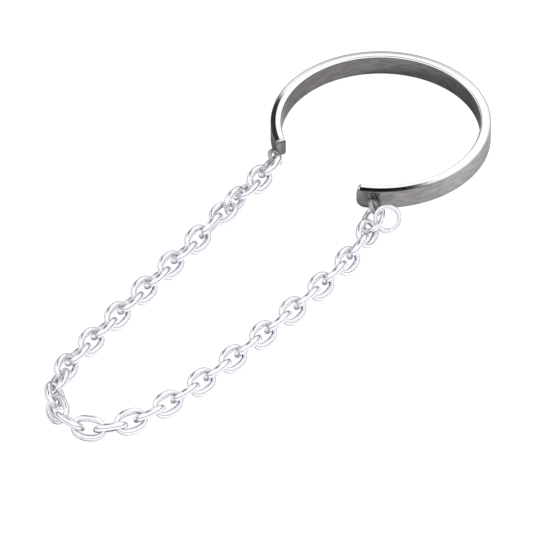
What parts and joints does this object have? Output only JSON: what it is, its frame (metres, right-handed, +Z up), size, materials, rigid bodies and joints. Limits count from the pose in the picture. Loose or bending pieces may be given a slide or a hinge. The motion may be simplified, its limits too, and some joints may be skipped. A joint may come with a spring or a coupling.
{
  "type": "ear chain earring",
  "caption": "Silver ear cuff, an open band with a long belly chain hung from an eyelet at each side of its mouth, laid flat in a hairpin.",
  "frame": {"origin": "on the cuff's axis, in the plane of its lower edge, which is the surface the earring lies on", "axes": "+Z up along the cuff's axis, -Y from the cuff's axis through the middle of its mouth, towards the chain's far bend, +X to the right of the mouth seen from above with the mouth towards the viewer"},
  "size_m": [0.0139, 0.0364, 0.0014],
  "materials": {
    "cuff_silver": "polished",
    "chain_silver": "polished"
  },
  "bodies": {
    "root": {"cuff": "cuff_silver", "link_01": "chain_silver", "link_02": "chain_silver", "link_03": "chain_silver", "link_04": "chain_silver", "link_05": "chain_silver", "link_06": "chain_silver", "link_07": "chain_silver", "link_08": "chain_silver", "link_09": "chain_silver", "link_10": "chain_silver", "link_11": "chain_silver", "link_12": "chain_silver", "link_13": "chain_silver", "link_14": "chain_silver", "link_15": "chain_silver", "link_16": "chain_silver", "link_17": "chain_silver", "link_18": "chain_silver", "link_19": "chain_silver", "link_20": "chain_silver", "link_21": "chain_silver", "link_22": "chain_silver", "link_23": "chain_silver", "link_24": "chain_silver", "link_25": "chain_silver", "link_26": "chain_silver", "link_27": "chain_silver", "link_28": "chain_silver", "link_29": "chain_silver", "link_30": "chain_silver", "link_31": "chain_silver", "link_32": "chain_silver", "link_33": "chain_silver", "link_34": "chain_silver", "link_35": "chain_silver", "link_36": "chain_silver", "link_37": "chain_silver", "link_38": "chain_silver", "link_39": "chain_silver", "link_40": "chain_silver", "jump_ring": "chain_silver", "end_ring": "chain_silver"}
  },
  "joints": []
}
